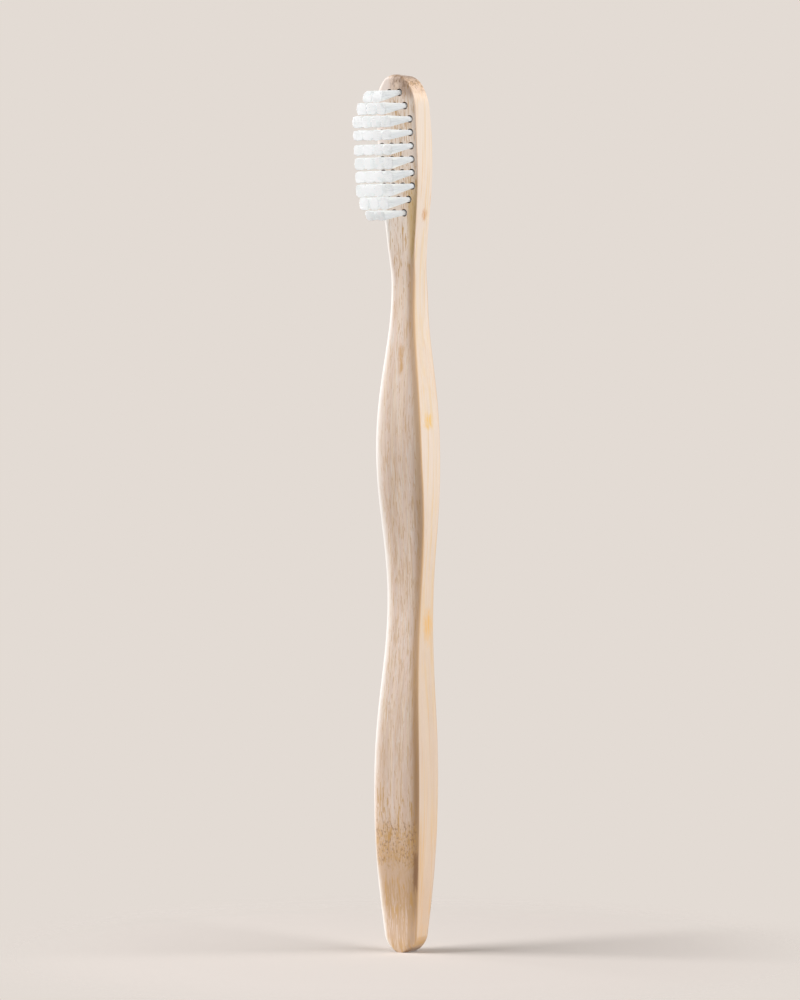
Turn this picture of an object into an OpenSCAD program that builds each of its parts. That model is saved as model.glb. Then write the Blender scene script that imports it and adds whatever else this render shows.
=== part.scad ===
// Manual toothbrush: a carved bamboo handle with tufts of straight bristles.
// The brush is posed upright on its foot. +Z runs up the handle, the bristles point
// towards -Y, X runs across, and the origin is the centre of the flat foot.
// Lengths are in millimetres and angles in degrees.

/* [Handle] */
// Overall length from the foot to the tip of the head
length = 190; // [176:1:205]
// Width that the handle tapers to at the foot
heel_w = 7.65; // [6.5:0.05:8.8]
// Width of the swell that lies in the palm
palm_w = 11.85; // [10.5:0.05:13.5]
// Width of the waist between palm and thumb
waist_w = 8.75; // [7.5:0.05:10.5]
// Width of the swell under the thumb
thumb_w = 12; // [10.5:0.05:13.8]
// Width of the neck
neck_w = 6.2; // [5.4:0.05:7.6]
// Reach of the rounded edges across the front and back, as a share of half the width
edge_share = 0.57; // [0.35:0.01:0.68]
// Reach of the rounded edges down the sides
edge_deep = 1.3; // [0.9:0.05:1.6]

/* [Handle thickness] */
// Half the thickness that the handle tapers to at the foot
heel_half = 3; // [2.5:0.05:3.5]
// Front face ahead of the origin at the palm
palm_front = 4.8; // [4.1:0.05:5.5]
// Front face ahead of the origin at the waist
waist_front = 1.75; // [1.2:0.05:2.5]
// Front face ahead of the origin under the thumb
thumb_front = 4.1; // [3.4:0.05:4.8]
// Front face ahead of the origin at the neck
neck_front = 2.1; // [1.6:0.05:2.6]
// Back face behind the origin at the palm
palm_back = 4.8; // [4:0.05:5.5]
// Back face behind the origin at the waist
waist_back = 5.05; // [4.3:0.05:5.7]
// Back face behind the origin under the thumb
thumb_back = 5.35; // [4.6:0.05:6.1]
// Back face behind the origin at the neck
neck_back = 4.8; // [4.1:0.05:5.4]

/* [Head] */
// Length of the flat that carries the tufts, measured from the tip
head_len = 32; // [31:0.5:36]
// Width of the head
head_w = 10.2; // [10:0.05:12]
// Front face ahead of the origin where the flat begins
head_front = 2.6; // [2.2:0.05:3]
// Back face behind the origin where the head begins
head_back = 3.1; // [2.7:0.05:3.6]
// Back face behind the origin at the tip of the head
tip_back = 1; // [0.8:0.05:1.5]
// Forward lean of the flat towards the tip
head_lean = 4.2; // [0:0.1:6]
// Reach of the head's rounded edges across its front and back, as a share of half its width
head_edge_share = 0.25; // [0.1:0.01:0.28]
// Reach of the head's rounded edges down its sides
head_edge_deep = 0.55; // [0.4:0.05:1]

/* [Rounded ends] */
// Height of the rounded outline at the foot
foot_run = 4; // [2.5:0.1:5]
// Rounding of the front and back at the foot
foot_edge = 0.9; // [0.6:0.1:1.8]
// Height cut off the rounded foot to give it a flat
foot_cut = 0.25; // [0.2:0.05:0.5]
// Height of the rounded outline at the tip
tip_run = 7.4; // [6:0.1:9]
// Rounding of the front and back at the tip
tip_edge = 1.2; // [0.6:0.1:1.6]
// Height cut off the rounded tip
tip_cut = 0.05; // [0.03:0.01:0.1]

/* [Tufts] */
// Distance from the tip to the first row of tufts
first_row = 3.9; // [3.4:0.1:4.5]
// Distance between rows along the brush
row_pitch = 2.87; // [2.6:0.01:2.9]
// Distance between the tufts of a row at the middle of the head
tuft_pitch = 2.5; // [2.45:0.01:2.6]
// Height of the bristles above the flat
bristle_len = 9; // [7:0.1:11]
// Amount that the first row is trimmed shorter towards the tip of the head
top_bevel = 1.6; // [0:0.1:3]
// Amount that the last row is trimmed shorter towards the handle
foot_bevel = 0.8; // [0:0.1:3]
// Distance that the tips of the first row hang towards the handle
top_hang = 0.4; // [0:0.05:0.5]
// Spread of a tuft's tips across the brush
tip_across = 2.3; // [1.7:0.05:2.3]
// Spread of a tuft's tips along the brush
tip_along = 2.55; // [1.7:0.05:2.55]
// Thickness of a strand at the root
strand_root_w = 0.24; // [0.16:0.01:0.25]
// Thickness of a strand at the tip
strand_tip_w = 0.38; // [0.16:0.01:0.4]
// Height of the packed root above the flat
root_rise = 0.2; // [0.1:0.05:0.5]
// Depth that the strands start below the top of the packed root
strand_sink = 0.3; // [0.1:0.05:0.5]

/* [Holes and anchors] */
// Diameter of a tuft hole
hole_d = 1.6; // [1.5:0.05:1.7]
// Depth of a tuft hole
hole_depth = 3.2; // [2.4:0.1:3.4]
// Gap around a packed root in its hole
root_gap = 0.05; // [0.02:0.01:0.08]
// Length of an anchor across its hole
anchor_len = 1.9; // [1.8:0.05:2]
// Height of an anchor along its hole
anchor_h = 1.3; // [1:0.05:1.5]
// Thickness of an anchor
anchor_t = 0.25; // [0.2:0.01:0.3]
// Thickness of the fold of bristle that an anchor pins down
fold_t = 0.35; // [0.2:0.05:0.5]
// Turn of the anchors about their holes
anchor_turn = 30; // [0:5:45]
// Gap around an anchor
anchor_gap = 0.02; // [0.01:0.01:0.04]

/* [Hidden] */
// Tufts in each row, from the tip down
row_counts = [2, 3, 4, 4, 4, 4, 4, 4, 3, 2];
// Pitch in each row, as a share of tuft_pitch
pitch_shares = [1, 1.02, 0.98, 0.98, 0.99, 0.99, 0.97, 0.96, 1.02, 1];
// Trimmed height of each row, as a share of bristle_len
trim_shares = [0.95, 1, 1.02, 1.01, 1, 1, 1, 1.01, 1.05, 1.06];
rows = len(row_counts);
tufts = [for (i = [0:rows - 1]) for (j = [0:row_counts[i] - 1]) [i, j]];

// Places of the swells along the stem, from the foot to the start of the flat
stem = length - head_len;
width_shares = [0, 0.222, 0.455, 0.658, 0.902, 1.089];
front_shares = [0, 0.215, 0.506, 0.709, 0.924, 1];
back_shares = [0, 0.3, 0.506, 0.69, 0.892, 0.994, 1.203];
edge_shares = [0, 0.92, 0.98];
// Sizes at those places
width_sizes = [heel_w, palm_w, waist_w, thumb_w, neck_w, head_w];
front_sizes = [heel_half, palm_front, waist_front, thumb_front, neck_front, head_front];
back_sizes = [heel_half, palm_back, waist_back, thumb_back, neck_back, head_back, tip_back];
across_sizes = [edge_share, edge_share, head_edge_share];
deep_sizes = [edge_deep, edge_deep, head_edge_deep];
// How late each span leaves its lower size: 1 is an even S curve
width_bends = [0.6, 1.15, 1.07, 1.27, 1.1];
front_bends = [0.65, 1.3, 1.1, 1.1, 0.7];
back_bends = [0.6, 1, 1, 1.3, 0.85, 2.4];
edge_bends = [1, 1];

// The flat of the head
lean_rise = tan(head_lean);

// Steps of the handle's skin
foot_steps = 8;
stem_steps = 46;
head_steps = 9;
tip_steps = 12;
corner_steps = 6;
quarter = 90;
corner_share = 0.92;

// A tuft's strands stand in two rings about its axis
root_d = hole_d - 2 * root_gap;
ring_counts = [4, 10];
ring_shares = [0.44, 1];
// Room that an outer strand keeps for its corners inside the packed root, as a share of its thickness
strand_room_share = 0.55;
outer_root_r = root_d / 2 - strand_root_w * strand_room_share;
outer_tip_across = (tip_across - strand_tip_w) / 2;
outer_tip_along = (tip_along - strand_tip_w) / 2;
strand_sides = 4;
turn = 360;
cut_over = root_rise + strand_sink;
anchor_z = -hole_depth + fold_t;
round_fn = 32;

tuft_names = [for (t = tufts) str("tuft_row", t[0] + 1, "_", t[1] + 1)];
anchor_names = [for (i = [0:rows - 1]) str("anchors_row", i + 1)];

// Part of an S curve reached at share t of a span
function ease(t, bend) = (1 - cos(2 * quarter * pow(t, bend))) / 2;

// Index of the span of places that holds height z
function span_at(places, z) = max([for (i = [0:len(places) - 2]) if (i == 0 || z >= places[i] * stem) i]);

// Share of its span that height z has reached
function span_share(places, i, z) =
    min(max((z / stem - places[i]) / (places[i + 1] - places[i]), 0), 1);

// Size at height z, along S curves from place to place
function along(places, sizes, bends, z) =
    let (i = span_at(places, z))
    sizes[i] + (sizes[i + 1] - sizes[i]) * ease(span_share(places, i, z), bends[i]);

// Height of a quarter ellipse at a distance gap from its end, as a share of its full height
function end_share(gap, run) = gap >= run ? 1 : sqrt(1 - pow(1 - gap / run, 2));

// Half the width of the handle at height z
function half_w(z) =
    along(width_shares, width_sizes, width_bends, z) / 2
    * end_share(z + foot_cut, foot_run) * end_share(length - z + tip_cut, tip_run);

// Amount that the front and back draw in at the two ends
function draw_in(z) =
    foot_edge * (1 - end_share(z + foot_cut, foot_run))
    + tip_edge * (1 - end_share(length - z + tip_cut, tip_edge));

// Flat of the head ahead of the origin, leaning forward towards the tip
function flat_front(z) = head_front + (z - stem) * lean_rise;

// Extra curve that lets the last span run into the leaning flat without a crease
function run_in(z) =
    let (last = len(front_shares) - 2, t = span_share(front_shares, last, z))
    (front_shares[last + 1] - front_shares[last]) * stem * lean_rise * (pow(t, 3) - pow(t, 2));

function front_at(z) =
    (z >= stem ? flat_front(z) : along(front_shares, front_sizes, front_bends, z) + run_in(z))
    - draw_in(z);
function back_at(z) = along(back_shares, back_sizes, back_bends, z) - draw_in(z);

// Reach of the rounded edges at height z, across the front and down the side, held within the section
function edge_across_at(z) = along(edge_shares, across_sizes, edge_bends, z) * half_w(z);
function edge_deep_at(z) =
    min(along(edge_shares, deep_sizes, edge_bends, z), corner_share * (front_at(z) + back_at(z)) / 2);

// One ring of the skin, a rectangle with elliptical corners, counter-clockwise from the front right
function ring(z) =
    let (w = half_w(z), f = front_at(z), b = back_at(z), r = edge_across_at(z), d = edge_deep_at(z))
    [for (c = [[w - r, d - f, -1], [w - r, b - d, 0], [r - w, b - d, 1], [r - w, d - f, 2]])
        for (k = [0:corner_steps])
            let (a = quarter * (c[2] + k / corner_steps))
            [c[0] + r * cos(a), c[1] + d * sin(a), z]];

// Heights of the rings, close together where the ends are round
foot_top = foot_run - foot_cut;
tip_base = length - tip_run + tip_cut;
levels = concat(
    [for (i = [0:foot_steps - 1]) foot_top * (1 - cos(quarter * i / foot_steps))],
    [for (i = [0:stem_steps - 1]) foot_top + (stem - foot_top) * i / stem_steps],
    [for (i = [0:head_steps - 1]) stem + (tip_base - stem) * i / head_steps],
    [for (i = [0:tip_steps]) tip_base + (length - tip_base) * sin(quarter * i / tip_steps)]);

// Closed skin through rings that all have the same number of points
module skin(rings) {
    n = len(rings[0]);
    top = (len(rings) - 1) * n;
    polyhedron(
        points = [for (r = rings) for (p = r) p],
        faces = concat(
            [for (i = [0:len(rings) - 2]) for (k = [0:n - 1]) each
                let (a = i * n + k, b = i * n + (k + 1) % n)
                [[a, b + n, b], [a, a + n, b + n]]],
            [[for (k = [0:n - 1]) k]],
            [[for (k = [n - 1:-1:0]) top + k]]));
}

// Height of a row along the brush, and place of a tuft across it
function row_z(i) = length - first_row - i * row_pitch;
function tuft_x(i, j) = (j - (row_counts[i] - 1) / 2) * tuft_pitch * pitch_shares[i];

// Carries its children to tuft j of row i: their z = 0 lies on the flat and their +Z leaves the hole
module at_tuft(i, j) {
    translate([tuft_x(i, j), -flat_front(row_z(i)), row_z(i)])
        rotate([quarter + head_lean, 0, 0])
            children();
}

// Metal plate across a hole, with room around it
module anchor_plate(room) {
    rotate([0, 0, anchor_turn])
        translate([-anchor_len / 2 - room, -anchor_t / 2 - room, anchor_z - room])
            cube([anchor_len + 2 * room, anchor_t + 2 * room, anchor_h + 2 * room]);
}

// Carved bamboo handle and head in one piece, drilled for the tufts
module handle() {
    color([0.84, 0.73, 0.6])
        difference() {
            skin([for (z = levels) ring(z)]);
            for (t = tufts)
                at_tuft(t[0], t[1]) {
                    translate([0, 0, -hole_depth])
                        cylinder(h = hole_depth + cut_over, d = hole_d, $fn = round_fn);
                    anchor_plate(anchor_gap);
                }
        }
}

// Amount that a strand of row i is trimmed, where up runs from -1 at the handle's side of a tuft to 1
function bevel_at(i, up) =
    (i == 0 ? top_bevel * (1 + up) : i == rows - 1 ? foot_bevel * (1 - up) : 0) / 2;

// One four-sided strand at turn a of a ring in row i, from the packed root to the trimmed tip
module strand(ring_share, a, i) {
    up = ring_share * sin(a);
    hang = i == 0 ? top_hang : 0;
    root = outer_root_r * ring_share * [cos(a), sin(a)];
    tip = [outer_tip_across * ring_share * cos(a), outer_tip_along * up - hang];
    ends = [
        [root, root_rise - strand_sink, strand_root_w],
        [tip, bristle_len * trim_shares[i] - bevel_at(i, up), strand_tip_w]];
    points = [for (e = ends) for (k = [0:strand_sides - 1])
        let (b = a + turn * (k + 0.5) / strand_sides, r = e[2] / sqrt(2))
        [e[0][0] + r * cos(b), e[0][1] + r * sin(b), e[1]]];
    polyhedron(points, [
        [0, 1, 2], [0, 2, 3], [4, 6, 5], [4, 7, 6],
        [0, 4, 5], [0, 5, 1], [1, 5, 6], [1, 6, 2],
        [2, 6, 7], [2, 7, 3], [3, 7, 4], [3, 4, 0]]);
}

// One bundle of nylon bristles: a packed root folded round its anchor, and strands that flare to the tips
module tuft(i, j) {
    color([0.95, 0.96, 0.95])
        at_tuft(i, j) {
            difference() {
                translate([0, 0, -hole_depth])
                    cylinder(h = hole_depth + root_rise, d = root_d, $fn = round_fn);
                anchor_plate(anchor_gap);
            }
            for (g = [0:len(ring_counts) - 1])
                for (k = [0:ring_counts[g] - 1])
                    strand(ring_shares[g], turn * k / ring_counts[g], i);
        }
}

// The anchors that pin the tufts of one row
module anchors(i) {
    color([0.78, 0.7, 0.5])
        for (j = [0:row_counts[i] - 1])
            at_tuft(i, j) anchor_plate(0);
}

handle();
for (n = [0:len(tufts) - 1])
    tuft(tufts[n][0], tufts[n][1]);
for (i = [0:rows - 1])
    anchors(i);
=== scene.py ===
"""Dresses a manual toothbrush: bamboo handle, nylon bristles and metal anchors.

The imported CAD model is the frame. The handle and each tuft of bristles are replaced by
finer surfaces of the same sizes, and the anchors keep their CAD meshes. Sizes below are
in millimetres until they reach a mesh, which is in metres.
"""
import logging
import math
from dataclasses import dataclass, field
from enum import Enum
from typing import Any, Optional, Union

import bpy
import numpy as np
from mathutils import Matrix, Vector


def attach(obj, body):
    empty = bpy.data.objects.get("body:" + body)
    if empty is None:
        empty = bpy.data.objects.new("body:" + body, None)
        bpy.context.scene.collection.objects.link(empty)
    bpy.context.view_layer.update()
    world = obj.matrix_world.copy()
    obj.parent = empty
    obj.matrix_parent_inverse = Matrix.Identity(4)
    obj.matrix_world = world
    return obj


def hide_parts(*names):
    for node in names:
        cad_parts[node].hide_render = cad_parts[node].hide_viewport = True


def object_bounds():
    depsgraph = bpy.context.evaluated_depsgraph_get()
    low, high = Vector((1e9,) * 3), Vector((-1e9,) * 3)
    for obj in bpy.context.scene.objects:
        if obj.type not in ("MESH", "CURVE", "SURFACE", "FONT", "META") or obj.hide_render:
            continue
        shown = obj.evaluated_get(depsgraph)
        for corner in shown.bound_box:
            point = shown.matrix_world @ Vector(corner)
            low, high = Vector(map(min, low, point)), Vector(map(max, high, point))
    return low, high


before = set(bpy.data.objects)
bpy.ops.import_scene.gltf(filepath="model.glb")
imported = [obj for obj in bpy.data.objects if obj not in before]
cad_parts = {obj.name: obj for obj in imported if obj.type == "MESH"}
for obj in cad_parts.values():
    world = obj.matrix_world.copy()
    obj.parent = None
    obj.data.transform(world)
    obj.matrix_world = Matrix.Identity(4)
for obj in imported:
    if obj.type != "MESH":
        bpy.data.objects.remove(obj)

CAD_LOW, CAD_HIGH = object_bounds()
LOG = logging.getLogger("toothbrush")

MM = 0.001
FULL_TURN = 2 * math.pi
QUARTER = math.pi / 2
ROOT_BODY = "root"

Triple = tuple[float, float, float]
Colour = Triple
Span = tuple[float, float]
Number = Union[int, float]


def srgb(red: Number, green: Number, blue: Number) -> Colour:
    """Turns display levels from 0 to 255 into the linear colour that renders as them.

    Args:
        red: Red level.
        green: Green level.
        blue: Blue level.

    Returns:
        The colour in linear light.
    """
    levels = np.array([red, green, blue]) / 255
    linear = np.where(levels <= 0.04045, levels / 12.92, ((levels + 0.055) / 1.055) ** 2.4)
    return tuple(float(v) for v in linear)


BACKGROUND = srgb(227, 219, 212)


def ease(share: np.ndarray, bend: Number) -> np.ndarray:
    """S curve: half of one minus the cosine of half a turn times share to the power bend.

    Args:
        share: Places along a span, from 0 to 1.
        bend: How late the curve leaves its lower end, 1 for an even curve.

    Returns:
        Values from 0 to 1.
    """
    return (1 - np.cos(math.pi * np.clip(share, 0, 1) ** bend)) / 2


def end_share(gap: np.ndarray, run: Number) -> np.ndarray:
    """Quarter ellipse: the root of one minus the square of the share still to go.

    Args:
        gap: Distance from the end.
        run: Length of the rounding.

    Returns:
        Height of the quarter ellipse as a share of its full height.
    """
    return np.sqrt(1 - np.clip(1 - gap / run, 0, 1) ** 2)


def mesh_piece(name: str, points: np.ndarray, faces: list[np.ndarray]) -> bpy.types.Object:
    """Makes an object at the origin from points in millimetres.

    Args:
        name: Name of the piece.
        points: Array of points, one a row.
        faces: Arrays of corner indices, each with faces of one number of sides.

    Returns:
        The linked object.
    """
    mesh = bpy.data.meshes.new(name)
    loops = np.concatenate([group.ravel() for group in faces])
    sides = np.concatenate([np.full(len(group), group.shape[1]) for group in faces])
    mesh.vertices.add(len(points))
    mesh.vertices.foreach_set("co", (points * MM).astype(np.float32).ravel())
    mesh.loops.add(len(loops))
    mesh.loops.foreach_set("vertex_index", loops.astype(np.int32))
    mesh.polygons.add(len(sides))
    starts = np.cumsum(sides) - sides
    mesh.polygons.foreach_set("loop_start", starts.astype(np.int32))
    mesh.update(calc_edges=True)
    mesh.validate()
    piece = bpy.data.objects.new(name, mesh)
    bpy.context.collection.objects.link(piece)
    return piece


def tube_faces(rings: int, sides: int) -> np.ndarray:
    """Quads between neighbouring rings of a tube whose points run ring by ring.

    Args:
        rings: Number of rings.
        sides: Points in each ring, counter-clockwise seen from the last ring.

    Returns:
        Array of four corner indices a row, facing outwards.
    """
    ring, side = np.meshgrid(np.arange(rings - 1), np.arange(sides), indexing="ij")
    a = (ring * sides + side).ravel()
    b = (ring * sides + (side + 1) % sides).ravel()
    return np.stack([a, b, b + sides, a + sides], axis=1)


@dataclass(frozen=True)
class Swells:
    """A size that swells and narrows along the stem, on S curves from place to place."""

    shares: tuple[float, ...]
    sizes: tuple[float, ...]
    bends: tuple[float, ...]

    def at(self, share: np.ndarray) -> np.ndarray:
        """Size along the stem: the lower size plus the eased part of the step to the next.

        Args:
            share: Places on the stem, 0 at the foot and 1 where the head starts.

        Returns:
            The size at each place.
        """
        share = np.asarray(share, dtype=float)
        value = np.full(share.shape, self.sizes[0])
        for k, bend in enumerate(self.bends):
            low, high = self.shares[k], self.shares[k + 1]
            step = (self.sizes[k + 1] - self.sizes[k]) * ease((share - low) / (high - low), bend)
            value = np.where(share >= low, self.sizes[k] + step, value)
        return value


@dataclass(frozen=True)
class HandleShape:
    """Sizes of the carved handle and the surface that they give."""

    length: float = 190.0
    head_len: float = 32.0
    head_front: float = 2.6
    head_lean: float = math.radians(4.2)
    foot_run: float = 4.0
    foot_edge: float = 0.9
    foot_cut: float = 0.25
    tip_run: float = 7.4
    tip_edge: float = 1.2
    tip_cut: float = 0.05
    corner_share: float = 0.92
    widths: Swells = Swells(
        (0, 0.222, 0.455, 0.658, 0.902, 1.089),
        (7.65, 11.85, 8.75, 12.0, 6.2, 10.2),
        (0.6, 1.15, 1.07, 1.27, 1.1))
    fronts: Swells = Swells(
        (0, 0.215, 0.506, 0.709, 0.924, 1),
        (3.0, 4.8, 1.75, 4.1, 2.1, 2.6),
        (0.65, 1.3, 1.1, 1.1, 0.7))
    backs: Swells = Swells(
        (0, 0.3, 0.506, 0.69, 0.892, 0.994, 1.203),
        (3.0, 4.8, 5.05, 5.35, 4.8, 3.1, 1.0),
        (0.6, 1, 1, 1.3, 0.85, 2.4))
    edge_shares: Swells = Swells((0, 0.92, 0.98), (0.57, 0.57, 0.25), (1, 1))
    edge_depths: Swells = Swells((0, 0.92, 0.98), (1.3, 1.3, 0.55), (1, 1))

    @property
    def stem(self) -> float:
        """Length of the handle below the flat of the head."""
        return self.length - self.head_len

    def flat_front(self, z: np.ndarray) -> np.ndarray:
        """Flat of the head ahead of the origin: a plane that leans forward towards the tip."""
        return self.head_front + (z - self.stem) * math.tan(self.head_lean)

    def half_width(self, z: np.ndarray) -> np.ndarray:
        """Half the width: half of the swells times a quarter ellipse at each end.

        Args:
            z: Heights.

        Returns:
            Half the width at each height.
        """
        ends = end_share(z + self.foot_cut, self.foot_run)
        ends = ends * end_share(self.length - z + self.tip_cut, self.tip_run)
        return self.widths.at(z / self.stem) / 2 * ends

    def draw_in(self, z: np.ndarray) -> np.ndarray:
        """Amount that the front and back draw in at the rounded ends."""
        foot = self.foot_edge * (1 - end_share(z + self.foot_cut, self.foot_run))
        return foot + self.tip_edge * (1 - end_share(self.length - z + self.tip_cut, self.tip_edge))

    def front(self, z: np.ndarray) -> np.ndarray:
        """Front face ahead of the origin: the swells, run into the leaning flat without a crease.

        The run-in is a cubic, t cubed less t squared, which is level at its low end and
        has the slope of the flat at its high end.

        Args:
            z: Heights.

        Returns:
            The reach of the front at each height.
        """
        low, high = self.fronts.shares[-2:]
        t = np.clip((z / self.stem - low) / (high - low), 0, 1)
        run_in = (high - low) * self.stem * math.tan(self.head_lean) * (t ** 3 - t ** 2)
        stem_front = self.fronts.at(z / self.stem) + run_in
        return np.where(z >= self.stem, self.flat_front(z), stem_front) - self.draw_in(z)

    def back(self, z: np.ndarray) -> np.ndarray:
        """Back face behind the origin at height z."""
        return self.backs.at(z / self.stem) - self.draw_in(z)

    def edge_across(self, z: np.ndarray) -> np.ndarray:
        """Reach of the elliptical edge across the front face at height z: a share of half the width."""
        return self.edge_shares.at(z / self.stem) * self.half_width(z)

    def edge_deep(self, z: np.ndarray) -> np.ndarray:
        """Reach of the elliptical edge down the side face at height z, held within the section."""
        room = self.corner_share * (self.front(z) + self.back(z)) / 2
        return np.minimum(self.edge_depths.at(z / self.stem), room)


@dataclass(frozen=True)
class TuftPlace:
    """Where one tuft stands: its hole's mouth on the flat and the three directions there."""

    row: int
    column: int
    mouth: np.ndarray
    across: np.ndarray
    along: np.ndarray
    out: np.ndarray

    @property
    def node(self) -> str:
        """Name of the CAD node that this tuft replaces."""
        return f"tuft_row{self.row + 1}_{self.column + 1}"

    def place(self, local: np.ndarray) -> np.ndarray:
        """Points given across, along and out of the flat, moved to where the tuft stands."""
        return self.mouth + local @ np.stack([self.across, self.along, self.out])


@dataclass(frozen=True)
class TuftLayout:
    """Rows of tufts on the flat of the head, from the tip down."""

    counts: tuple[int, ...] = (2, 3, 4, 4, 4, 4, 4, 4, 3, 2)
    pitch_shares: tuple[float, ...] = (1, 1.02, 0.98, 0.98, 0.99, 0.99, 0.97, 0.96, 1.02, 1)
    trim_shares: tuple[float, ...] = (0.95, 1, 1.02, 1.01, 1, 1, 1, 1.01, 1.05, 1.06)
    first_row: float = 3.9
    row_pitch: float = 2.87
    tuft_pitch: float = 2.5
    bristle_len: float = 9.0
    hole_d: float = 1.6
    hole_depth: float = 3.2
    anchor_len: float = 1.9
    anchor_h: float = 1.3
    anchor_t: float = 0.25
    anchor_turn: float = math.radians(30)
    anchor_gap: float = 0.02
    fold_t: float = 0.35

    def places(self, shape: HandleShape) -> list[TuftPlace]:
        """Works out every tuft's place.

        Args:
            shape: The handle that carries the tufts.

        Returns:
            One place a tuft, row by row from the tip.
        """
        lean = shape.head_lean
        along = np.array([0, -math.sin(lean), math.cos(lean)])
        out = np.array([0, -math.cos(lean), -math.sin(lean)])
        found = []
        for row, count in enumerate(self.counts):
            z = shape.length - self.first_row - row * self.row_pitch
            y = -float(shape.flat_front(np.array(z)))
            for column in range(count):
                x = (column - (count - 1) / 2) * self.tuft_pitch * self.pitch_shares[row]
                found.append(TuftPlace(row, column, np.array([x, y, z]), np.array([1.0, 0, 0]), along, out))
        return found


class Wire:
    """A shader socket that takes part in sums: each operation adds its Math node."""

    def __init__(self, book: "NodeBook", socket: bpy.types.NodeSocket) -> None:
        """Wraps an output socket of the book's tree."""
        self.book = book
        self.socket = socket

    def _math(self, operation: str, first: Any, second: Any = 0.0) -> "Wire":
        """Adds one Math node on two values or wires."""
        return self.book.node("ShaderNodeMath", {"operation": operation}, {0: first, 1: second})

    def __add__(self, other: Any) -> "Wire":
        """Sum."""
        return self._math("ADD", self, other)

    __radd__ = __add__

    def __sub__(self, other: Any) -> "Wire":
        """Difference."""
        return self._math("SUBTRACT", self, other)

    def __rsub__(self, other: Any) -> "Wire":
        """Difference from a number."""
        return self._math("SUBTRACT", other, self)

    def __mul__(self, other: Any) -> "Wire":
        """Product."""
        return self._math("MULTIPLY", self, other)

    __rmul__ = __mul__

    def __truediv__(self, other: Any) -> "Wire":
        """Quotient."""
        return self._math("DIVIDE", self, other)

    def __abs__(self) -> "Wire":
        """Size without its sign."""
        return self._math("ABSOLUTE", self)

    def peak(self, other: Any) -> "Wire":
        """The larger of two."""
        return self._math("MAXIMUM", self, other)

    def fraction(self) -> "Wire":
        """Part after the whole number."""
        return self._math("FRACT", self)

    def step(self, low: Number, high: Number) -> "Wire":
        """Smooth step from 0 at low to 1 at high, which falls where low is above high.

        Args:
            low: Where the step is 0.
            high: Where it is 1.

        Returns:
            The wire of the step.
        """
        rising = low < high
        inputs = {"Value": self, "From Min": min(low, high), "From Max": max(low, high),
                  "To Min": 0.0 if rising else 1.0, "To Max": 1.0 if rising else 0.0}
        return self.book.node("ShaderNodeMapRange", {"interpolation_type": "SMOOTHSTEP"}, inputs)


@dataclass(frozen=True)
class Pattern:
    """A noise pattern: its cells a millimetre along each axis, and how fine, rough and warped it is."""

    cells: Triple
    detail: float = 2.0
    roughness: float = 0.5
    warp: float = 0.0


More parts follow.
